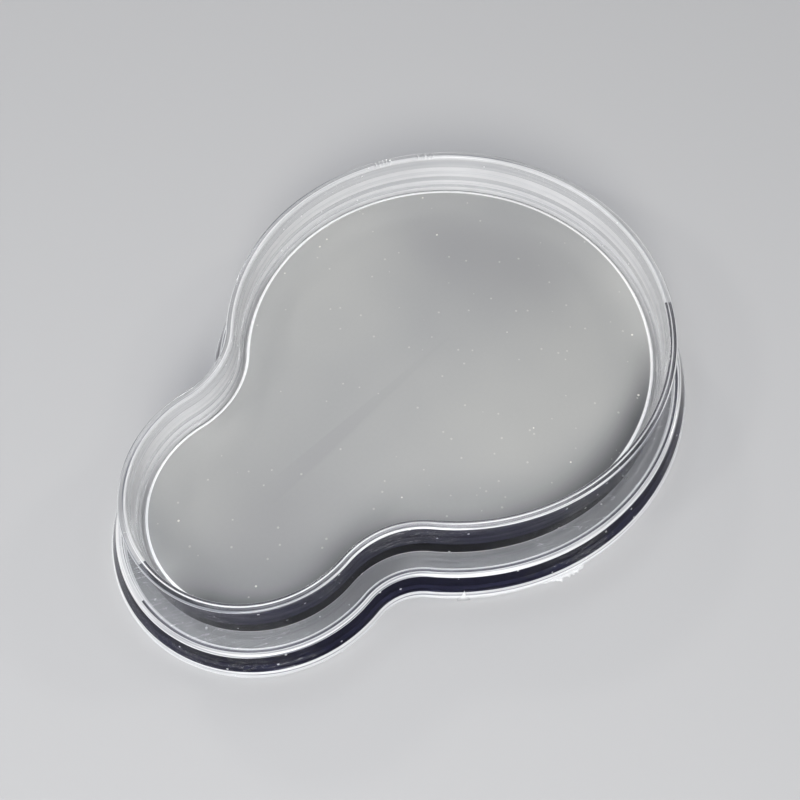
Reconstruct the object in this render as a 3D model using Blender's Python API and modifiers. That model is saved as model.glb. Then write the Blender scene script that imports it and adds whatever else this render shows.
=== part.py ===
"""A clear moulded wet palette with a gourd outline, its shallow dish standing on its own lid.

Metres, +Z up. The table is at z = 0, the long axis lies along X with the big lobe towards +X,
and the origin is under the middle of the whole object.
"""
import math

import bmesh
import bpy

# Outline: two round lobes joined by a smooth waist. It is the dish's outer edge at its rim.
BIG_LOBE_RADIUS = 0.0400
SMALL_LOBE_RADIUS = 0.0212
LOBE_SPACING = 0.0462
WAIST_RADIUS = 0.0148

# Mouldings
WALL = 0.0015
DISH_HEIGHT = 0.0118
LID_HEIGHT = 0.0060
LID_CLEARANCE = 0.0020      # between the dish's wall and the inside of the lid, all round
DISH_DRAFT = 0.0003         # how far the dish's wall leans out, from its floor to its rim
LID_DRAFT = 0.0016          # how far the lid's skirt leans out, from its plate to its bead
DISH_CORNER = 0.0008        # rounding, inside and out, where the dish's floor meets its wall
LID_CORNER = 0.0006         # the same where the lid's plate meets its skirt
BEAD_HEIGHT = 0.0013        # the stiffening bead round the lid's open edge
BEAD_STEP = 0.0005
RIM_ROUNDING = 0.0003

# What the dish holds
PAD_THICKNESS = 0.0008
PAD_MARGIN = 0.0008         # from the inside of the dish's wall to the pad's edge
SHEET_THICKNESS = 0.0003
SHEET_MARGIN = 0.0006

# Pieces that rest on each other keep this much air
CONTACT_GAP = 0.0003

# Points round each stretch of the outline
BIG_LOBE_STEPS = 44
SMALL_LOBE_STEPS = 26
WAIST_STEPS = 8


def arc(centre, radius, start, end, steps):
    """Points along a round stretch, without its last one, which the next stretch begins with."""
    turns = [start + (end - start) * i / steps for i in range(steps)]
    return [(centre[0] + radius * math.cos(a), centre[1] + radius * math.sin(a)) for a in turns]


def gourd_outline(offset):
    """The palette's outline, grown by offset all round, as (x, y) points taken anticlockwise."""
    big = BIG_LOBE_RADIUS + offset
    small = SMALL_LOBE_RADIUS + offset
    waist = WAIST_RADIUS - offset

    # The waist's arc touches both lobes from outside, so its centre is a fixed reach from each.
    reach_big = BIG_LOBE_RADIUS + WAIST_RADIUS
    reach_small = SMALL_LOBE_RADIUS + WAIST_RADIUS
    back = (reach_big ** 2 - reach_small ** 2 + LOBE_SPACING ** 2) / (2 * LOBE_SPACING)
    side = math.sqrt(reach_big ** 2 - back ** 2)

    big_x = (LOBE_SPACING + SMALL_LOBE_RADIUS - BIG_LOBE_RADIUS) / 2
    small_x = big_x - LOBE_SPACING
    waist_x = big_x - back
    on_big = math.atan2(side, -back)
    on_small = math.atan2(side, LOBE_SPACING - back)

    points = arc((big_x, 0), big, -on_big, on_big, BIG_LOBE_STEPS)
    points += arc((waist_x, side), waist, on_big - math.pi, on_small - math.pi, WAIST_STEPS)
    points += arc((small_x, 0), small, on_small, 2 * math.pi - on_small, SMALL_LOBE_STEPS)
    points += arc((waist_x, -side), waist, math.pi - on_small, math.pi - on_big, WAIST_STEPS)
    return points


def plastic(name, colour, roughness, transmission=0.0):
    """A non-metal Principled material."""
    material = bpy.data.materials.new(name)
    material.use_nodes = True
    shader = material.node_tree.nodes["Principled BSDF"]
    shader.inputs["Base Color"].default_value = (*colour, 1)
    shader.inputs["Roughness"].default_value = roughness
    shader.inputs["Metallic"].default_value = 0.0
    shader.inputs["Transmission Weight"].default_value = transmission
    return material


def moulded_shell(name, levels, corner, material):
    """A shell of even wall: a flat plate at the first level, and a wall through the others.

    Each level is (offset, z) and gives the outside of the shell, which thickens inwards.
    """
    bm = bmesh.new()
    bevel_weight = bm.edges.layers.float.new("bevel_weight_edge")
    rings = []
    for offset, z in levels:
        verts = [bm.verts.new((x, y, z)) for x, y in gourd_outline(offset)]
        rings.append([bm.edges.new(pair) for pair in zip(verts, verts[1:] + verts[:1])])
        if len(rings) == 1:
            bm.faces.new(verts)
    for edge in rings[0]:
        edge[bevel_weight] = 1.0
    for ring, next_ring in zip(rings, rings[1:]):
        bmesh.ops.bridge_loops(bm, edges=ring + next_ring)
    bmesh.ops.recalc_face_normals(bm, faces=bm.faces)

    mesh = bpy.data.meshes.new(name)
    bm.to_mesh(mesh)
    bm.free()
    mesh.shade_smooth()
    mesh.set_sharp_from_angle(angle=math.radians(35))
    mesh.materials.append(material)
    shell = bpy.data.objects.new(name, mesh)
    parts.objects.link(shell)

    thicken = shell.modifiers.new("thicken", "SOLIDIFY")
    thicken.thickness = WALL
    thicken.offset = -1
    thicken.use_even_offset = True

    # The plate's edge keeps its bevel weight on both faces of the wall.
    round_corner = shell.modifiers.new("round_corner", "BEVEL")
    round_corner.width = corner
    round_corner.segments = 3
    round_corner.limit_method = "WEIGHT"

    soften_rim = shell.modifiers.new("soften_rim", "BEVEL")
    soften_rim.width = RIM_ROUNDING
    soften_rim.segments = 2
    soften_rim.limit_method = "ANGLE"
    soften_rim.angle_limit = math.radians(60)
    return shell


def flat_piece(name, margin, underside, thickness, material):
    """A flat piece that lies in the dish, its edge kept a margin inside the dish's wall."""
    curve = bpy.data.curves.new(name, "CURVE")
    curve.dimensions = "2D"
    curve.fill_mode = "BOTH"
    curve.extrude = thickness / 2
    outline = gourd_outline(-DISH_DRAFT - WALL - margin)
    spline = curve.splines.new("POLY")
    spline.points.add(len(outline) - 1)
    for point, (x, y) in zip(spline.points, outline):
        point.co = (x, y, 0, 1)
    spline.use_cyclic_u = True
    curve.materials.append(material)
    piece = bpy.data.objects.new(name, curve)
    piece.location.z = underside + thickness / 2
    parts.objects.link(piece)
    return piece


def lift_guide(name, z, parent=None):
    """An empty on the upright line along which a piece lifts out."""
    guide = bpy.data.objects.new(name, None)
    guide.empty_display_size = 0.01
    guide.location.z = z
    guide.parent = parent
    parts.objects.link(guide)
    return guide


def hang_on(piece, guide, guide_z):
    """Parents a piece to its guide, leaving it where it is."""
    piece.parent = guide
    piece.location.z -= guide_z


for old in list(bpy.data.objects):
    bpy.data.objects.remove(old, do_unlink=True)

parts = bpy.data.collections.new("wet_palette")
bpy.context.scene.collection.children.link(parts)

clear_plastic = plastic("clear_plastic", (0.86, 0.88, 0.90), 0.05, transmission=1.0)
grey_sponge = plastic("grey_sponge", (0.40, 0.41, 0.41), 0.9)
grey_membrane = plastic("grey_membrane", (0.42, 0.42, 0.41), 0.35)

# The lid stands on its open edge, plate up, and the dish stands on the plate.
lid_plate_offset = LID_CLEARANCE + WALL
lid_skirt_offset = lid_plate_offset + LID_DRAFT
lid_bead_offset = lid_skirt_offset + BEAD_STEP
lid_levels = [
    (lid_plate_offset, LID_HEIGHT),
    (lid_skirt_offset, BEAD_HEIGHT + BEAD_STEP),
    (lid_bead_offset, BEAD_HEIGHT),
    (lid_bead_offset, 0.0),
]
lid = moulded_shell("lid", lid_levels, LID_CORNER, clear_plastic)

dish_z = LID_HEIGHT + CONTACT_GAP
dish_levels = [(-DISH_DRAFT, dish_z), (0.0, dish_z + DISH_HEIGHT)]
dish = moulded_shell("dish", dish_levels, DISH_CORNER, clear_plastic)

pad_z = dish_z + WALL + CONTACT_GAP
pad = flat_piece("hydration_pad", PAD_MARGIN, pad_z, PAD_THICKNESS, grey_sponge)

sheet_z = pad_z + PAD_THICKNESS + CONTACT_GAP
sheet = flat_piece("palette_sheet", SHEET_MARGIN, sheet_z, SHEET_THICKNESS, grey_membrane)

# The dish lifts off the lid, the pad lifts out of the dish, and the sheet peels off the pad.
dish_guide = lift_guide("dish_lift", dish_z)
hang_on(dish, dish_guide, dish_z)
pad_guide = lift_guide("pad_lift", pad_z - dish_z, dish_guide)
hang_on(pad, pad_guide, pad_z)
sheet_guide = lift_guide("sheet_lift", sheet_z - pad_z, pad_guide)
hang_on(sheet, sheet_guide, sheet_z)
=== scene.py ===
import math
import random

import bmesh
import bpy
from mathutils import Matrix, Vector, noise


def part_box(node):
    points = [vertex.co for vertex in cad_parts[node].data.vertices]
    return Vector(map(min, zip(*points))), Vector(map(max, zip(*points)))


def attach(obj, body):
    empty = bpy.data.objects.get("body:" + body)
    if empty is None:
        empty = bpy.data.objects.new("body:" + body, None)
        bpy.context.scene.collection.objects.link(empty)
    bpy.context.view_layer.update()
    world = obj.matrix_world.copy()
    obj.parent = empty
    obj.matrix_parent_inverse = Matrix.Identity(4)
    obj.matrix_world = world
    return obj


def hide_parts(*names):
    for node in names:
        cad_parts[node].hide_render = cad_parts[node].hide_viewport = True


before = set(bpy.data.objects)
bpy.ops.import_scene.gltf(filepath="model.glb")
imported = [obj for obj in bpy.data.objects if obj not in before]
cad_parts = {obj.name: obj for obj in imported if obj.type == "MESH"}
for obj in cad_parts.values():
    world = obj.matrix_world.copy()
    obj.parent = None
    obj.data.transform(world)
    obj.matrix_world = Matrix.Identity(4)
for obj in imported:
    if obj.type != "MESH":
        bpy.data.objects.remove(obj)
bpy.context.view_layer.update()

scene = bpy.context.scene
scene.view_settings.view_transform = "Standard"
mm = 0.001


cameraSetup = {
    "lookAt": (0.00257, 0.00169, 0.0),
    "distance": 0.1765,
    "azimuth": -42.58,          # 0 looks along +Y
    "elevation": 60.72,
    "roll": -1.39,
    "lens": 41.44,
}


def placeCamera(setup):
    data = bpy.data.cameras.new("studioCamera")
    data.lens = setup["lens"]
    data.sensor_width = 36
    data.clip_start = 0.005
    data.clip_end = 10
    camera = bpy.data.objects.new("studioCamera", data)
    azimuth = math.radians(setup["azimuth"])
    elevation = math.radians(setup["elevation"])
    back = Vector((math.sin(azimuth) * math.cos(elevation),
                   -math.cos(azimuth) * math.cos(elevation),
                   math.sin(elevation)))
    turn = (-back).to_track_quat("-Z", "Y").to_matrix().to_4x4()
    roll = Matrix.Rotation(math.radians(setup["roll"]), 4, "Z")
    place = Matrix.Translation(Vector(setup["lookAt"]) + back * setup["distance"])
    camera.matrix_world = place @ turn @ roll
    scene.collection.objects.link(camera)
    scene.camera = camera


placeCamera(cameraSetup)
print("camera placed")


# The palette is two round lobes joined by a smooth waist, all measured at the dish's rim.
dishLow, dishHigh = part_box("dish")
lidLow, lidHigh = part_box("lid")
padLow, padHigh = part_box("hydration_pad")
sheetLow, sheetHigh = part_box("palette_sheet")

outlineShape = {
    "smallLobe": 21.2 * mm,
    "waist": 14.8 * mm,
    "bigSteps": 220,
    "waistSteps": 36,
    "smallSteps": 116,
}
shadedSide = {
    "way": Vector((-0.38, -0.925)),   # the near side, where painted shade goes: the dark rim top and line on the wall, and the shadow painted along the sheet's edge
    "reach": 0.3,               # how squarely a stretch of wall has to face that way to count
}
gateMark = {                    # where the moulding gate was trimmed, on the far rim
    "start": 50.0,              # degrees round the big lobe
    "end": 67.0,
    "teeth": 5,                 # at each end of the mark
    "pitch": 1.1,
    "halfWidth": 0.34,
    "match": 0.05,              # a station this near to a tooth's middle is its middle
    "depth": 0.2 * mm,
}


def toothMiddles():
    # Degrees round the big lobe of every tooth, counted inwards from both ends of the mark.
    ends = ((gateMark["start"], gateMark["pitch"]), (gateMark["end"], -gateMark["pitch"]))
    return [edge + step * tooth for edge, step in ends for tooth in range(gateMark["teeth"])]


def toothAngles():
    half = gateMark["halfWidth"]
    return [math.radians(middle + side) for middle in toothMiddles() for side in (-half, 0, half)]


def facesShadedSide(station):
    return station["out"].dot(shadedSide["way"]) > shadedSide["reach"]


def makeStations(shape):
    # A station is a point of the outline, with its way out and the point of the spine it faces.
    big = (dishHigh.y - dishLow.y) / 2
    small = shape["smallLobe"]
    waist = shape["waist"]
    spacing = (dishHigh.x - dishLow.x) - big - small
    bigX = dishHigh.x - big
    smallX = bigX - spacing
    reachBig = big + waist
    reachSmall = small + waist
    back = (reachBig ** 2 - reachSmall ** 2 + spacing ** 2) / (2 * spacing)
    side = math.sqrt(reachBig ** 2 - back ** 2)
    waistX = bigX - back
    onBig = math.atan2(side, -back)
    onSmall = math.atan2(side, spacing - back)

    def sweep(start, end, steps):
        return [start + (end - start) * i / steps for i in range(steps)]

    bigAngles = sorted(set(sweep(-onBig, onBig, shape["bigSteps"]) + toothAngles()))
    stretches = [
        ((bigX, 0), big, 1, bigAngles),
        ((waistX, side), waist, -1, sweep(onBig - math.pi, onSmall - math.pi, shape["waistSteps"])),
        ((smallX, 0), small, 1, sweep(onSmall, 2 * math.pi - onSmall, shape["smallSteps"])),
        ((waistX, -side), waist, -1, sweep(math.pi - onSmall, math.pi - onBig, shape["waistSteps"])),
    ]
    stations = []
    for centre, radius, outward, angles in stretches:
        for i, angle in enumerate(angles):
            direction = Vector((math.cos(angle), math.sin(angle)))
            spot = Vector(centre) + direction * radius
            if outward > 0:
                spine = Vector(centre)
            else:                # the waist's spine points run along the axis, lobe to lobe
                share = i / len(angles)
                if centre[1] > 0:
                    share = 1 - share
                spine = Vector((smallX + spacing * share, 0))
            stations.append({"spot": spot, "out": direction * outward, "spine": spine,
                             "angle": angle, "onBig": outward > 0 and radius == big})
    return stations, {"bigX": bigX, "big": big}


stations, lobes = makeStations(outlineShape)
print("outline has", len(stations), "stations")


def ringPoints(offset, z):
    return [(s["spot"].x + s["out"].x * offset, s["spot"].y + s["out"].y * offset, z)
            for s in stations]


def outlineArea(offset):
    points = ringPoints(offset, 0)
    pairs = zip(points, points[1:] + points[:1])
    return abs(sum(a[0] * b[1] - b[0] * a[1] for a, b in pairs)) / 2


def cornerArc(centre, radius, start, end, steps):
    # Points along a rounding in a section, as (offset, z), between two angles in degrees.
    spots = []
    for i in range(steps + 1):
        angle = math.radians(start + (end - start) * i / steps)
        spots.append((centre[0] + radius * math.cos(angle), centre[1] + radius * math.sin(angle)))
    return spots


def leanCentre(edge, top, lean, radius):
    # The middle of the rounding between a flat top and a side that leans out by so many degrees.
    angle = math.radians(lean)
    return (edge - radius * (1 - math.sin(angle)) / math.cos(angle), top - radius)


def bridge(bm, first, second):
    # One face between each pair of neighbours of two closed rings.
    faces = []
    for i in range(len(first)):
        j = (i + 1) % len(first)
        faces.append(bm.faces.new((first[i], first[j], second[j], second[i])))
    return faces


def smoothPiece(name, bm, materials):
    bmesh.ops.recalc_face_normals(bm, faces=bm.faces)
    mesh = bpy.data.meshes.new(name)
    bm.to_mesh(mesh)
    bm.free()
    mesh.shade_smooth()
    for material in materials:
        mesh.materials.append(material)
    piece = bpy.data.objects.new(name, mesh)
    scene.collection.objects.link(piece)
    return piece


unshadedFinishes = {"line": "haze", "rimTop": "veil"}   # off the shaded near side, the painted dark line turns into a painted glint and the dark rim top into painted sheen


def loftShell(name, section, finishes, plates, shape=None):
    # Sweeps a section of (offset, z, finish) round the outline and closes both ends with a flat plate.
    # A finish covers the strip from its own point to the next one.
    order = list(finishes)
    bm = bmesh.new()
    runLayer = bm.verts.layers.float.new("sectionRun")
    rings = []
    run = 0.0
    last = None
    for level, (offset, z, _) in enumerate(section):
        if last:
            run += math.dist(last, (offset, z)) / mm
        last = (offset, z)
        points = ringPoints(offset, z)
        if shape:                # shape(level, station, point) may move a point
            points = [shape(level, s, Vector(p)) for s, p in zip(stations, points)]
        verts = [bm.verts.new(p) for p in points]
        for vert in verts:
            vert[runLayer] = run
        rings.append(verts)
    for lower, upper, (_, _, finish) in zip(rings, rings[1:], section):
        farFinish = unshadedFinishes.get(finish, finish)
        for face, station in zip(bridge(bm, lower, upper), stations):
            # painted light: wall faces on the shaded near side take the dark finish, the rest its lighter
            # copy
            face.material_index = order.index(finish if facesShadedSide(station) else farFinish)
    for ring in (rings[0], rings[-1]):
        bm.faces.new(ring).material_index = order.index(plates)
    piece = smoothPiece(name, bm, [finishes[key] for key in order])
    flatten = piece.modifiers.new("evenNormals", "WEIGHTED_NORMAL")
    flatten.mode = "FACE_AREA"
    flatten.weight = 80
    return piece


def newGroup(name, inputs, outputs):
    tree = bpy.data.node_groups.new(name, "ShaderNodeTree")
    for label, value in inputs:
        socket = tree.interface.new_socket(label, in_out="INPUT", socket_type="NodeSocketFloat")
        socket.default_value = value
    for label in outputs:
        tree.interface.new_socket(label, in_out="OUTPUT", socket_type="NodeSocketFloat")
    ins = tree.nodes.new("NodeGroupInput")
    outs = tree.nodes.new("NodeGroupOutput")
    return tree, ins, outs


def addNode(tree, kind, **settings):
    node = tree.nodes.new(kind)
    for key, value in settings.items():
        setattr(node, key, value)
    return node


def mathNode(tree, operation, first, second=None):
    node = addNode(tree, "ShaderNodeMath", operation=operation)
    for slot, value in enumerate((first, second)):
        if value is None:
            continue
        if hasattr(value, "links"):
            tree.links.new(value, node.inputs[slot])
        else:
            node.inputs[slot].default_value = value
    return node.outputs[0]


def rangeNode(tree, value, low, high, toLow=0.0, toHigh=1.0):
    node = addNode(tree, "ShaderNodeMapRange")
    tree.links.new(value, node.inputs["Value"])
    node.inputs["From Min"].default_value = low
    node.inputs["From Max"].default_value = high
    node.inputs["To Min"].default_value = toLow
    node.inputs["To Max"].default_value = toHigh
    return node.outputs["Result"]


def readAttribute(tree, name):
    return addNode(tree, "ShaderNodeAttribute", attribute_name=name).outputs["Fac"]


def makeDustGroup():
    # Fine pale specks: a point in each cell, kept only where a second noise lets it through.
    inputs = [("Scale", 900.0), ("Size", 0.12), ("Amount", 0.5)]
    tree, ins, outs = newGroup("dustSpecks", inputs, ["Mask"])
    coords = addNode(tree, "ShaderNodeTexCoord")
    cells = addNode(tree, "ShaderNodeTexVoronoi", feature="F1")
    tree.links.new(coords.outputs["Object"], cells.inputs["Vector"])
    tree.links.new(ins.outputs["Scale"], cells.inputs["Scale"])
    dot = mathNode(tree, "LESS_THAN", cells.outputs["Distance"], ins.outputs["Size"])
    pick = addNode(tree, "ShaderNodeSeparateColor")
    tree.links.new(cells.outputs["Color"], pick.inputs[0])
    kept = mathNode(tree, "LESS_THAN", pick.outputs[0], ins.outputs["Amount"])
    mask = mathNode(tree, "MULTIPLY", dot, kept)
    tree.links.new(mask, outs.inputs["Mask"])
    return tree


def makeScratchGroup():
    # Long hair scratches: noise stretched hard in one direction and cut to its thin crests.
    inputs = [("Scale", 60.0), ("Angle", 0.4), ("Amount", 0.5)]
    tree, ins, outs = newGroup("hairScratches", inputs, ["Mask"])
    coords = addNode(tree, "ShaderNodeTexCoord")
    turn = addNode(tree, "ShaderNodeVectorRotate", rotation_type="Z_AXIS")
    tree.links.new(coords.outputs["Object"], turn.inputs["Vector"])
    tree.links.new(ins.outputs["Angle"], turn.inputs["Angle"])
    stretch = addNode(tree, "ShaderNodeVectorMath", operation="MULTIPLY")
    stretch.inputs[1].default_value = (1.0, 22.0, 22.0)
    tree.links.new(turn.outputs["Vector"], stretch.inputs[0])
    lines = addNode(tree, "ShaderNodeTexNoise")
    lines.inputs["Detail"].default_value = 3.0
    tree.links.new(stretch.outputs[0], lines.inputs["Vector"])
    tree.links.new(ins.outputs["Scale"], lines.inputs["Scale"])
    crest = mathNode(tree, "ABSOLUTE", mathNode(tree, "SUBTRACT", lines.outputs["Fac"], 0.5))
    thin = rangeNode(tree, crest, 0.006, 0.0)
    patches = addNode(tree, "ShaderNodeTexNoise")
    patches.inputs["Scale"].default_value = 45.0
    tree.links.new(coords.outputs["Object"], patches.inputs["Vector"])
    gate = mathNode(tree, "GREATER_THAN", patches.outputs["Fac"], 0.53)
    mask = mathNode(tree, "MULTIPLY", mathNode(tree, "MULTIPLY", thin, gate), ins.outputs["Amount"])
    tree.links.new(mask, outs.inputs["Mask"])
    return tree


def makeStreakGroup():
    # Flow lines left by the mould. They run level round every wall, so they change mostly along
    # the section.
    # Height bumps the plastic; Bright sets how strongly the painted highlights and shade bands show along
    # the lines, and scales the worn patches.
    tree, ins, outs = newGroup("mouldStreaksAndGlints", [("Lines", 3.0), ("Drift", 60.0)], ["Height", "Bright"])
    coords = addNode(tree, "ShaderNodeTexCoord")
    split = addNode(tree, "ShaderNodeSeparateXYZ")
    tree.links.new(coords.outputs["Object"], split.inputs[0])
    join = addNode(tree, "ShaderNodeCombineXYZ")
    sources = (("X", split.outputs["X"], "Drift"), ("Y", split.outputs["Y"], "Drift"),
               ("Z", readAttribute(tree, "sectionRun"), "Lines"))
    for axis, source, factor in sources:
        tree.links.new(mathNode(tree, "MULTIPLY", source, ins.outputs[factor]), join.inputs[axis])
    lines = addNode(tree, "ShaderNodeTexNoise")
    lines.inputs["Scale"].default_value = 1.0
    lines.inputs["Detail"].default_value = 2.0
    tree.links.new(join.outputs[0], lines.inputs["Vector"])
    tree.links.new(lines.outputs["Fac"], outs.inputs["Height"])
    tree.links.new(rangeNode(tree, lines.outputs["Fac"], 0.38, 0.58), outs.inputs["Bright"])
    return tree


def makeCloudGroup():
    # Slow, soft variation, from 0 to 1.
    tree, ins, outs = newGroup("softClouds", [("Scale", 30.0), ("Detail", 3.0)], ["Value"])
    coords = addNode(tree, "ShaderNodeTexCoord")
    clouds = addNode(tree, "ShaderNodeTexNoise")
    tree.links.new(coords.outputs["Object"], clouds.inputs["Vector"])
    tree.links.new(ins.outputs["Scale"], clouds.inputs["Scale"])
    tree.links.new(ins.outputs["Detail"], clouds.inputs["Detail"])
    tree.links.new(rangeNode(tree, clouds.outputs["Fac"], 0.12, 0.88), outs.inputs["Value"])
    return tree


dustSpecks = makeDustGroup()
hairScratches = makeScratchGroup()
mouldStreaksAndGlints = makeStreakGroup()
softClouds = makeCloudGroup()
print("shader groups made")


def placeGroup(tree, group, **values):
    node = addNode(tree, "ShaderNodeGroup", node_tree=group)
    for label, value in values.items():
        node.inputs[label].default_value = value
    return node


def mixColour(tree, factor, first, second):
    node = addNode(tree, "ShaderNodeMix", data_type="RGBA")
    tree.links.new(factor, node.inputs["Factor"])
    for label, value in ((6, first), (7, second)):
        if hasattr(value, "links"):
            tree.links.new(value, node.inputs[label])
        else:
            node.inputs[label].default_value = (*value, 1)
    return node.outputs[2]


def scaled(tree, value, factor):
    return mathNode(tree, "MULTIPLY", value, factor)


def addBump(tree, shader, height, strength, distance):
    bump = addNode(tree, "ShaderNodeBump")
    bump.inputs["Strength"].default_value = strength
    bump.inputs["Distance"].default_value = distance
    tree.links.new(height, bump.inputs["Height"])
    tree.links.new(bump.outputs["Normal"], shader.inputs["Normal"])


def newMaterial(name):
    material = bpy.data.materials.new(name)
    material.use_nodes = True
    tree = material.node_tree
    shader = tree.nodes["Principled BSDF"]
    return material, tree, shader


clearLook = {
    "ior": 1.59,
    "shade": (0.68, 0.69, 0.71),   # how much of a lamp's light each face lets through
    "dust": {"Scale": 620.0, "Size": 0.13},
    "hair": {"Scale": 55.0, "Angle": 0.5},
    "streaks": {"Lines": 3.4, "Drift": 34.0},
    "clouds": {"Scale": 90.0, "Detail": 3.0},
    "wornFrom": 0.55,           # where the clouds begin to count as wear, and where it's full
    "wornTo": 0.85,
    "wornLift": 0.009,         # how much the worn patches lighten the painted near-black seen from outside
    "wornRoughness": 0.02,
    "marks": (0.95, 0.95, 0.93),
    "marksTint": 0.6,
    "marksRoughness": 0.5,
    "marksHeight": 0.5,
    "bump": 0.6,
    "bumpDistance": 0.022 * mm,
}
clearFinishes = {               # streaky ones vary along the mould's flow lines, the rest in clouds; every finish but clear paints light or shade into the plastic
    "clear": {"name": "clearPlastic", "bright": (0.89, 0.895, 0.905), "dim": (0.81, 0.815, 0.83),
              "transmission": 1.0, "roughness": 0.025, "specks": 0.10, "scratches": 0.6},
    # painted shade: tinted darker than clear, for the shade under the lid
    "plate": {"name": "lidPlateShaded", "bright": (0.50, 0.503, 0.51), "dim": (0.41, 0.413, 0.42),
              "transmission": 1.0, "roughness": 0.03, "specks": 0.10, "scratches": 0.6},
    # painted sheen: a partly white diffuse band
    "veil": {"name": "paintedSheenBand", "bright": (0.92, 0.925, 0.93), "dim": (0.74, 0.745, 0.76),
             "transmission": 0.6, "roughness": 0.05, "specks": 0.10, "scratches": 0.6,
             "streaky": True},
    # painted sheen: a grey, partly diffuse band
    "film": {"name": "paintedGreySheenBand", "bright": (0.62, 0.62, 0.63), "dim": (0.42, 0.42, 0.43),
             "transmission": 0.9, "roughness": 0.05, "specks": 0.10, "scratches": 0.6,
             "streaky": True},
    # painted light on the rim's top: white and near-black streaks, kept on the shaded near side
    "rimTop": {"name": "rimTop", "bright": (0.36, 0.36, 0.39), "dim": (0.04, 0.042, 0.055),
               "transmission": 0.68, "roughness": 0.08, "specks": 0.05, "scratches": 0.3,
               "streaky": True},
    # painted shade: near black when seen from outside
    "outer": {"name": "clearOuterWall", "bright": (0.89, 0.895, 0.905), "dim": (0.81, 0.815, 0.83),
              "transmission": 1.0, "roughness": 0.035, "specks": 0.22, "scratches": 0.5,
              "ior": 1.12, "paintedShadeOutside": (0.0005, 0.0005, 0.002)},
    # painted glint: a mostly white diffuse band
    "haze": {"name": "paintedGlintBand", "bright": (0.97, 0.975, 0.98), "dim": (0.78, 0.785, 0.80),
             "transmission": 0.34, "roughness": 0.08, "specks": 0.10, "scratches": 0.6,
             "streaky": True},
    # painted shade: a dark line
    "line": {"name": "paintedShadeLine", "bright": (0.14, 0.14, 0.17), "dim": (0.03, 0.03, 0.045),
             "transmission": 0.5, "roughness": 0.06, "specks": 0.0, "scratches": 0.0},
    # white torn plastic on the lid's burr and chip; on the dish's walls, foot and inner corner it paints
    # glint lines
    "flake": {"name": "tornFlakeAndPaintedGlint", "bright": (1.0, 1.0, 1.0), "dim": (0.80, 0.80, 0.81),
              "transmission": 0.25, "roughness": 0.25, "specks": 0.1, "scratches": 0.0},
    # painted highlight: rims and edges are partly white diffuse, so they glow like lit edges
    "edge": {"name": "paintedHighlightEdge", "bright": (1.0, 1.0, 1.0), "dim": (0.20, 0.21, 0.24),
             "transmission": 0.22, "roughness": 0.10, "specks": 0.05, "scratches": 0.3,
             "streaky": True},
}


def lightThrough(tree, shader):
    # Lamps shine through the plastic, a little weakened at each face.
    rays = addNode(tree, "ShaderNodeLightPath")
    passing = addNode(tree, "ShaderNodeBsdfTransparent")
    passing.inputs["Color"].default_value = (*clearLook["shade"], 1)
    mix = addNode(tree, "ShaderNodeMixShader")
    tree.links.new(rays.outputs["Is Shadow Ray"], mix.inputs[0])
    tree.links.new(shader.outputs[0], mix.inputs[1])
    tree.links.new(passing.outputs[0], mix.inputs[2])
    tree.links.new(mix.outputs[0], tree.nodes["Material Output"].inputs["Surface"])


def clearPlastic(finish):
    material, tree, shader = newMaterial(finish["name"])
    shader.inputs["Transmission Weight"].default_value = finish["transmission"]
    shader.inputs["IOR"].default_value = finish.get("ior", clearLook["ior"])
    dust = placeGroup(tree, dustSpecks, Amount=finish["specks"], **clearLook["dust"])
    hair = placeGroup(tree, hairScratches, Amount=finish["scratches"], **clearLook["hair"])
    streaks = placeGroup(tree, mouldStreaksAndGlints, **clearLook["streaks"])
    clouds = placeGroup(tree, softClouds, **clearLook["clouds"])

    marks = mathNode(tree, "MAXIMUM", dust.outputs["Mask"], hair.outputs["Mask"])
    patches = rangeNode(tree, clouds.outputs["Value"], clearLook["wornFrom"], clearLook["wornTo"])
    worn = mathNode(tree, "MULTIPLY", patches, streaks.outputs["Bright"])
    vary = streaks.outputs["Bright"] if finish.get("streaky") else clouds.outputs["Value"]
    tint = mixColour(tree, vary, finish["dim"], finish["bright"])
    if "paintedShadeOutside" in finish:    # painted shade: seen from outside the wall is tinted near black, from inside it stays clear
        side = addNode(tree, "ShaderNodeNewGeometry")
        wear = scaled(tree, worn, clearLook["wornLift"])
        outsideShade = mixColour(tree, wear, finish["paintedShadeOutside"], finish["dim"])
        tint = mixColour(tree, side.outputs["Backfacing"], outsideShade, tint)
    tint = mixColour(tree, scaled(tree, marks, clearLook["marksTint"]), tint, clearLook["marks"])
    tree.links.new(tint, shader.inputs["Base Color"])
    rough = rangeNode(tree, marks, 0.0, 1.0, finish["roughness"], clearLook["marksRoughness"])
    wornRough = rangeNode(tree, worn, 0.0, 1.0, 0.0, clearLook["wornRoughness"])
    tree.links.new(mathNode(tree, "ADD", rough, wornRough), shader.inputs["Roughness"])

    markHeight = scaled(tree, marks, clearLook["marksHeight"])
    height = mathNode(tree, "ADD", streaks.outputs["Height"], markHeight)
    addBump(tree, shader, height, clearLook["bump"], clearLook["bumpDistance"])
    lightThrough(tree, shader)
    return material


shellFinishes = {key: clearPlastic(finish) for key, finish in clearFinishes.items()}
print("clear finishes made")


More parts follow.
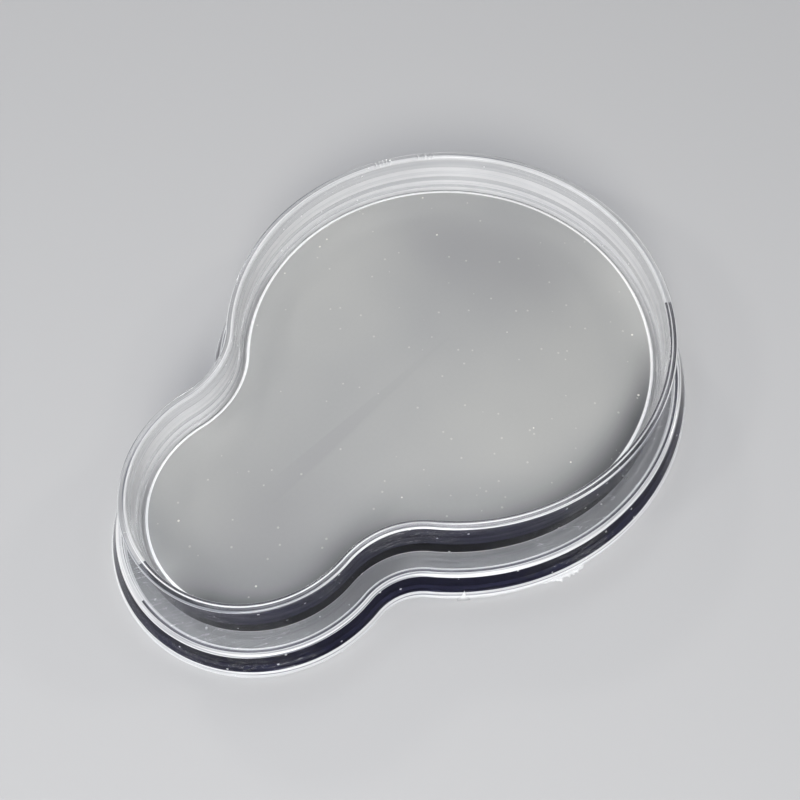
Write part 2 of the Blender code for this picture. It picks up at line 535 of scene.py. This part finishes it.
dishShape = {
    "wall": 1.5 * mm,
    "draft": 0.3 * mm,
    "outerCorner": 0.5 * mm,
    "footLine": 0.2 * mm,       # the painted highlight at the foot runs this far up from its rounding
    "footStep": 0.01 * mm,
    "innerCorner": 1.1 * mm,
    "rim": 0.3 * mm,            # the rounding on both of the rim's edges
    # the rim's top: a painted highlight strip, then a painted shade line
    "rimFlat": ((-0.85 * mm, "edge"), (-1.08 * mm, "line")),
    # The inner wall's bands are painted sheen, painted glint lines and painted highlights.
    "innerBands": (             # how far below the rim each finish begins on the inside of the wall
        (0.55 * mm, "veil"), (2.7 * mm, "flake"), (3.7 * mm, "haze"), (4.5 * mm, "flake"),
        (5.2 * mm, "veil"), (6.3 * mm, "flake"), (6.9 * mm, "haze"),
        (7.5 * mm, "veil"), (8.2 * mm, "flake"),
    ),
}


def finished(points, finish):
    return [(offset, z, finish) for offset, z in points]


def dishSection(shape):
    # From the middle of the foot, up the outside, over the rim and down the inside to the floor.
    floor = dishLow.z
    top = dishHigh.z
    foot = -shape["draft"]
    wall = shape["wall"]
    corner = shape["outerCorner"]
    inner = shape["innerCorner"]
    rim = shape["rim"]

    def innerWall(drop):
        lean = shape["draft"] * drop / (top - floor)
        return (-wall - lean, top - drop)

    section = finished(cornerArc((foot - corner, floor + corner), corner, -90, 0, 8), "flake")
    section.append((foot + shape["footStep"], floor + corner + shape["footLine"], "outer"))
    section += finished(cornerArc((-rim, top - rim), rim, 0, 90, 6), "edge")
    section[-1] = (*section[-1][:2], "rimTop")
    section += [(offset, top, finish) for offset, finish in shape["rimFlat"]]
    turn = cornerArc((-wall + rim, top - rim), rim, 90, 180, 6)
    section += finished(turn[:3], "line")    # painted shade: a dark line just inside the rim
    section += finished(turn[3:], "flake")
    for drop, finish in shape["innerBands"]:
        section.append((*innerWall(drop), finish))
    section += finished(cornerArc((foot - wall - inner, floor + wall + inner), inner, 0, -90, 8), "flake")
    return section


dishRimLevels = range(11, 25)      # which of the section's points make the rim


def gateTeeth(level, station, point):
    # The rim's topmost rings dip at each tooth of the trimmed gate.
    if station["onBig"] and level in dishRimLevels:
        degrees = math.degrees(station["angle"])
        if any(abs(degrees - middle) < gateMark["match"] for middle in toothMiddles()):
            point.z -= gateMark["depth"]
    return point


dishShell = loftShell("dishShell", dishSection(dishShape), shellFinishes, "clear", gateTeeth)
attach(dishShell, "dish")
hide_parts("dish")
print("dish shell made")


lidShape = {
    "wall": 1.5 * mm,
    "plateEdge": 3.5 * mm,      # how far out the plate would meet the skirt without a rounding
    # The plate's bands are painted sheen, painted glints and a painted shade line.
    "plateBands": (             # how far out each finish begins on top of the plate
        (0.6 * mm, "film"), (0.95 * mm, "plate"), (2.2 * mm, "haze"), (2.36 * mm, "plate"),
        (2.5 * mm, "line"), (2.88 * mm, "haze"),
    ),
    "skirt": 5.1 * mm,          # how far out the skirt meets the bead
    "skirtTurn": 0.5 * mm,      # how far above the bead the skirt's straight lean ends
    "shoulder": (               # from the skirt to the bead: how far out, how far above it
        (-0.05 * mm, 0.75 * mm, "haze"), (0.0, 0.55 * mm, "haze"), (0.12 * mm, 0.3 * mm, "edge"),
    ),
    "innerShoulder": 0.55 * mm,
    "bead": 5.6 * mm,
    "beadHeight": 1.3 * mm,
    "corner": 0.7 * mm,
    "innerCorner": 0.7 * mm,
    "rim": 0.4 * mm,
}


def lidSection(shape):
    # From the plate out and down the skirt, round the bead and up the inside to the plate again.
    top = lidHigh.z
    bottom = lidLow.z
    wall = shape["wall"]
    corner = shape["corner"]
    inner = shape["innerCorner"]
    rim = shape["rim"]
    bead = shape["bead"]
    skirt = shape["skirt"]
    beadTop = bottom + shape["beadHeight"]
    edge = shape["plateEdge"]
    lean = math.degrees(math.atan2(skirt - edge, top - beadTop - shape["skirtTurn"]))
    section = [(offset, top, finish) for offset, finish in shape["plateBands"]]
    section += finished(cornerArc(leanCentre(edge, top, lean, corner), corner, 90, lean, 8), "edge")
    section[-1] = (*section[-1][:2], "outer")
    section += [(skirt + out, beadTop + rise, finish) for out, rise, finish in shape["shoulder"]]
    section += finished(cornerArc((bead - rim, beadTop - rim), rim, 60, 0, 4), "haze")
    section += finished(cornerArc((bead - rim, bottom + rim), rim, 0, -90, 5), "edge")
    section += finished(cornerArc((bead - wall + rim, bottom + rim), rim, -90, -180, 5), "edge")
    section[-1] = (*section[-1][:2], "clear")
    section.append((bead - wall, beadTop, "haze"))
    section.append((skirt - wall, beadTop + shape["innerShoulder"], "clear"))
    innerEdge, ceiling = leanCentre(edge, top, lean, wall)
    turn = cornerArc(leanCentre(innerEdge, ceiling, lean, inner), inner, lean, 90, 8)
    section += finished(turn, "haze")
    return section


lidShell = loftShell("lidShell", lidSection(lidShape), shellFinishes, "plate")
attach(lidShell, "lid")
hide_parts("lid")
print("lid shell made")


burrShape = {
    "start": -114.0,            # degrees round the big lobe
    "end": -104.0,
    "points": 26,
    "root": 0.45 * mm,          # how deep in the bead the strip begins
    "least": 0.04 * mm,
    "reach": 1.5 * mm,
    "thickness": 0.28 * mm,
    "tip": 0.4,                 # the outer edge's share of the thickness
    "clear": 0.03 * mm,         # air under the root, and how much more under the tip
    "tipClear": 0.05 * mm,
    "seed": 7,
}
chipShape = {
    "middle": (-16.0 * mm, -33.1 * mm),
    "width": 2.1 * mm,
    "height": 2.4 * mm,
    "lean": 0.55 * mm,
    "proud": 0.22 * mm,
    "root": 0.5 * mm,           # how deep in the bead the flake begins
    "clear": 0.04 * mm,
    "corners": ((-0.5, 0.0), (0.5, 0.0), (0.16, 0.55), (0.05, 1.0), (-0.12, 0.6)),
}


def lidBurr(shape):
    # A ragged strip of flash, torn where the moulding was trimmed.
    rng = random.Random(shape["seed"])
    bm = bmesh.new()
    centre = Vector((lobes["bigX"], 0))
    bead = lobes["big"] + lidShape["bead"]
    columns = []
    for i in range(shape["points"] + 1):
        share = i / shape["points"]
        angle = math.radians(shape["start"] + (shape["end"] - shape["start"]) * share)
        out = Vector((math.cos(angle), math.sin(angle)))
        swell = math.sin(math.pi * share) ** 0.6 * (0.5 + 0.5 * share)
        reach = shape["reach"] * swell * rng.uniform(0.15, 1.0)
        inner = centre + out * (bead - shape["root"])
        outer = centre + out * (bead + shape["least"] + reach)
        thick = shape["thickness"] * rng.uniform(0.5, 1.0)
        low = lidLow.z + shape["clear"]
        tip = low + shape["tipClear"]
        corners = ((*inner, low), (*outer, tip), (*outer, tip + thick * shape["tip"]),
                   (*inner, low + thick))
        columns.append([bm.verts.new(corner) for corner in corners])
    for first, second in zip(columns, columns[1:]):
        bridge(bm, first, second)
    bm.faces.new(columns[0])
    bm.faces.new(columns[-1])
    return smoothPiece("lidBurr", bm, [shellFinishes["flake"]])


def lidChip(shape):
    # A small three-cornered flake standing on the bead.
    bm = bmesh.new()
    middle = Vector(shape["middle"])
    station = min(stations, key=lambda s: (s["spot"] + s["out"] * lidShape["bead"] - middle).length)
    out = station["out"]
    along = Vector((-out.y, out.x))
    root = station["spot"] + out * lidShape["bead"]
    rings = []
    for depth in (-shape["root"], shape["proud"]):
        ring = []
        for side, rise in shape["corners"]:
            spot = root + along * side * shape["width"] + out * (depth - rise * shape["lean"])
            z = lidLow.z + shape["clear"] + rise * shape["height"]
            ring.append(bm.verts.new((*spot, z)))
        bm.faces.new(ring)
        rings.append(ring)
    bridge(bm, *rings)
    return smoothPiece("lidChip", bm, [shellFinishes["flake"]])


for flaw in (lidBurr(burrShape), lidChip(chipShape)):
    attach(flaw, "lid")
print("burr and chip made")


padShape = {
    "rings": 14,
    "round": 0.28 * mm,         # the rounding of the pad's edge
    "swell": 0.05 * mm,         # the height of its lumps
    "lumps": 180,               # noise steps per metre
}
sheetShape = {
    "rings": 26,
    "thickness": 0.12 * mm,
    "wave": 0.07 * mm,
    "waveLength": 16 * mm,
}


spineShare = 0.9                # how far towards the spine between the lobes the rings run in
# Painted shade: the sheet darkens along its edge on the near side, as the near wall's shadow.
edgeShadeWidth = 3.6 * mm
edgeShadeGain = 1.6                  # how soon the painted shade along the sheet's edge is at its full width on the shaded side
highlightWidth = 0.42 * mm            # the painted highlight line that runs round the sheet's edge
# darker patches on the sheet
darkPatches = (                      # middle, spread, how much darker
    ((37 * mm, 4 * mm), 13 * mm, 0.55),
    ((30 * mm, 20 * mm), 10 * mm, 0.40),
    ((-34 * mm, -6 * mm), 12 * mm, 0.40),
)


def inwardRings(outer, count):
    # Plan views of rings that shrink from the outline towards the spine. The second one, close in,
    # bounds the painted highlight line.
    rings = []
    for k in range(count + 1):
        share = spineShare * k / count
        ring = []
        for s in stations:
            edge = s["spot"] + s["out"] * outer
            ring.append(edge.lerp(s["spine"], share))
        rings.append(ring)
        if k == 0:
            rings.append([s["spot"] + s["out"] * (outer - highlightWidth) for s in stations])
    return rings


# How strong the painted edge shade is at a point of the sheet.
def paintedEdgeShade(station, fromEdge):
    facing = max(0.0, station["out"].dot(shadedSide["way"]) - shadedSide["reach"]) / (1 - shadedSide["reach"])
    return math.exp(-(fromEdge / edgeShadeWidth) ** 2) * min(1.0, edgeShadeGain * facing)


def patchDarkening(spot):
    return sum(depth * math.exp(-((spot - Vector(at)).length / spread) ** 2)
               for at, spread, depth in darkPatches)


def softSlab(name, outer, height, rings, material):
    # A slab whose two faces are rings running in to the spine; height(spot, edge distance, side) gives z.
    bm = bmesh.new()
    edgeShadeLayer = bm.verts.layers.float.new("fromEdge")
    darkPatchLayer = bm.verts.layers.float.new("darkPatch")
    highlightLayer = bm.verts.layers.float.new("paintedEdgeHighlight")
    plans = inwardRings(outer, rings)
    borders = []
    for side in (1, -1):
        levels = []
        for ring, plan in enumerate(plans):
            level = []
            for spot, rim, station in zip(plan, plans[0], stations):
                fromEdge = (spot - rim).length
                vert = bm.verts.new((spot.x, spot.y, height(spot, fromEdge, side)))
                vert[darkPatchLayer] = patchDarkening(spot)
                vert[edgeShadeLayer] = paintedEdgeShade(station, fromEdge)
                vert[highlightLayer] = 1.0 if ring < 2 else 0.0
                level.append(vert)
            levels.append(level)
        for outside, inside in zip(levels, levels[1:]):
            bridge(bm, outside, inside)
        bm.faces.new(levels[-1])
        borders.append(levels[0])
    bridge(bm, *borders)
    return smoothPiece(name, bm, [material])


padOuter = (padHigh.y - padLow.y) / 2 - lobes["big"]
sheetOuter = (sheetHigh.y - sheetLow.y) / 2 - lobes["big"]


def padHeight(spot, fromEdge, side):
    middle = (padLow.z + padHigh.z) / 2
    half = (padHigh.z - padLow.z) / 2
    fall = max(0.0, 1 - fromEdge / padShape["round"])
    lump = noise.noise(Vector((spot.x, spot.y, side)) * padShape["lumps"])
    sink = padShape["round"] * fall ** 2 + padShape["swell"] * (0.5 + 0.5 * lump)
    return middle + side * (half - sink)


def sheetHeight(spot, fromEdge, side):
    middle = (sheetLow.z + sheetHigh.z) / 2
    wave = noise.noise(Vector((spot.x, spot.y, 0.3)) / sheetShape["waveLength"])
    return middle + side * sheetShape["thickness"] / 2 + sheetShape["wave"] * wave


spongeLook = {
    "poreScale": 2400,
    # painted shade: the pores are darker, as shade in the holes
    "poreShade": (0.20, 0.205, 0.21),
    "dark": (0.36, 0.37, 0.37),
    "light": (0.46, 0.46, 0.45),
    "wetRoughness": 0.55,
    "dryRoughness": 0.9,
    "bump": 0.8,
    "bumpDistance": 0.12 * mm,
}


def spongeMaterial(look):
    material, tree, shader = newMaterial("wetGreySponge")
    pores = addNode(tree, "ShaderNodeTexVoronoi")
    coords = addNode(tree, "ShaderNodeTexCoord")
    tree.links.new(coords.outputs["Object"], pores.inputs["Vector"])
    pores.inputs["Scale"].default_value = look["poreScale"]
    clouds = placeGroup(tree, softClouds, Scale=120.0, Detail=4.0)
    walls = rangeNode(tree, pores.outputs["Distance"], 0.1, 0.5)
    body = mixColour(tree, clouds.outputs["Value"], look["dark"], look["light"])
    tree.links.new(mixColour(tree, walls, look["poreShade"], body), shader.inputs["Base Color"])
    rough = rangeNode(tree, clouds.outputs["Value"], 0, 1, look["wetRoughness"], look["dryRoughness"])
    tree.links.new(rough, shader.inputs["Roughness"])
    addBump(tree, shader, walls, look["bump"], look["bumpDistance"])
    return material


membraneLook = {
    "light": (0.45, 0.45, 0.432),
    "dark": (0.30, 0.305, 0.315),
    "fibre": (0.60, 0.60, 0.58),
    "darkPatch": (0.25, 0.25, 0.262),
    # painted shade along the sheet's near edge
    "edgeShade": (0.05, 0.052, 0.058),
    # painted highlight along the sheet's edge
    "rim": (0.98, 0.98, 0.97),
    "speck": (0.86, 0.85, 0.78),
    "fibreTint": 0.06,
    "edgeShadeTint": 0.9,
    "faintTint": 0.36,
    "speckTint": 0.8,
    "roughness": 0.32,
    "fibreHeight": 0.2,
    "bump": 0.5,
    "bumpDistance": 0.03 * mm,
}


def membraneMaterial(look):
    material, tree, shader = newMaterial("dampGreyMembrane")
    clouds = placeGroup(tree, softClouds, Scale=26.0, Detail=2.0)
    fibres = placeGroup(tree, softClouds, Scale=1600.0, Detail=5.0)
    dust = placeGroup(tree, dustSpecks, Scale=430.0, Size=0.088, Amount=0.17)
    fineDust = placeGroup(tree, dustSpecks, Scale=640.0, Size=0.13, Amount=0.24)
    faintDust = scaled(tree, fineDust.outputs["Mask"], look["faintTint"])
    specks = mathNode(tree, "MAXIMUM", dust.outputs["Mask"], faintDust)

    paper = mixColour(tree, clouds.outputs["Value"], look["dark"], look["light"])
    grain = scaled(tree, fibres.outputs["Value"], look["fibreTint"])
    paper = mixColour(tree, grain, paper, look["fibre"])
    paper = mixColour(tree, readAttribute(tree, "darkPatch"), paper, look["darkPatch"])
    # painted shade along the near edge; the fromEdge attribute holds it
    edgeShade = scaled(tree, readAttribute(tree, "fromEdge"), look["edgeShadeTint"])
    paper = mixColour(tree, edgeShade, paper, look["edgeShade"])
    # painted highlight line round the sheet's edge
    paintedEdgeHighlight = rangeNode(tree, readAttribute(tree, "paintedEdgeHighlight"), 0.8, 1.0)
    paper = mixColour(tree, paintedEdgeHighlight, paper, look["rim"])
    paper = mixColour(tree, scaled(tree, specks, look["speckTint"]), paper, look["speck"])
    tree.links.new(paper, shader.inputs["Base Color"])
    shader.inputs["Roughness"].default_value = look["roughness"]

    fibreHeight = scaled(tree, fibres.outputs["Value"], look["fibreHeight"])
    addBump(tree, shader, mathNode(tree, "ADD", fibreHeight, specks), look["bump"], look["bumpDistance"])
    return material


hydrationPad = softSlab("hydrationPad", padOuter, padHeight, padShape["rings"],
                        spongeMaterial(spongeLook))
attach(hydrationPad, "pad")
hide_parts("hydration_pad")

paletteSheet = softSlab("paletteSheet", sheetOuter, sheetHeight, sheetShape["rings"],
                        membraneMaterial(membraneLook))
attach(paletteSheet, "sheet")
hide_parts("palette_sheet")
outlineArea(sheetOuter)
print("pad and sheet made")


studio = {
    "floorColour": (0.56, 0.56, 0.565),
    "floorRoughness": 0.85,
    "floorDrop": 0.02 * mm,     # keeps the floor just clear of the lid's open edge
    "zenith": (0.62, 0.64, 0.68),
    "horizon": (0.030, 0.032, 0.050),
    "backdrop": (1.1, 1.1, 1.12),  # what shows past the floor's far edge in a low view
    "worldStrength": 0.40,
}
lamps = [                       # name, place, size, watts, colour
    ("frontSoftbox", (-0.39, -0.36, 0.43), 0.26, 3.9, (1.0, 1.0, 1.0)),
    ("farSoftbox", (0.20, 0.22, 0.58), 0.30, 0.5, (1.0, 1.0, 1.0)),
    ("leftSpot", (-0.42, 0.20, 0.42), 0.07, 0.6, (0.97, 0.98, 1.0)),
    ("backSpot", (0.10, 0.50, 0.40), 0.07, 0.5, (1.0, 1.0, 1.0)),
    ("rightSpot", (0.46, -0.22, 0.40), 0.07, 0.5, (1.0, 0.99, 0.97)),
]


def makeFloor():
    bm = bmesh.new()
    bmesh.ops.create_grid(bm, x_segments=1, y_segments=1, size=1.5)
    mesh = bpy.data.meshes.new("studioFloor")
    bm.to_mesh(mesh)
    bm.free()
    floor = bpy.data.objects.new("studioFloor", mesh)
    material, tree, shader = newMaterial("paleFloor")
    shader.inputs["Base Color"].default_value = (*studio["floorColour"], 1)
    shader.inputs["Roughness"].default_value = studio["floorRoughness"]
    floor.data.materials.append(material)
    floor.location.z = -studio["floorDrop"]
    scene.collection.objects.link(floor)


def makeWorld():
    world = bpy.data.worlds.new("softStudio")
    scene.world = world
    world.use_nodes = True
    tree = world.node_tree
    background = tree.nodes["Background"]
    background.inputs["Strength"].default_value = studio["worldStrength"]
    coords = addNode(tree, "ShaderNodeTexCoord")
    split = addNode(tree, "ShaderNodeSeparateXYZ")
    tree.links.new(coords.outputs["Generated"], split.inputs[0])
    rise = rangeNode(tree, split.outputs["Z"], 0.15, 0.95)
    sky = mixColour(tree, rise, studio["horizon"], studio["zenith"])
    rays = addNode(tree, "ShaderNodeLightPath")
    sky = mixColour(tree, rays.outputs["Is Camera Ray"], sky, studio["backdrop"])
    tree.links.new(sky, background.inputs["Color"])


def hangLamp(name, place, size, watts, colour):
    # A round soft lamp that points at the middle of the floor.
    data = bpy.data.lights.new(name, "AREA")
    data.shape = "DISK"
    data.size = size
    data.energy = watts
    data.color = colour
    lamp = bpy.data.objects.new(name, data)
    lamp.location = place
    lamp.rotation_euler = (-Vector(place)).to_track_quat("-Z", "Y").to_euler()
    scene.collection.objects.link(lamp)


makeFloor()
makeWorld()
for lamp in lamps:
    hangLamp(*lamp)
print("studio lit")
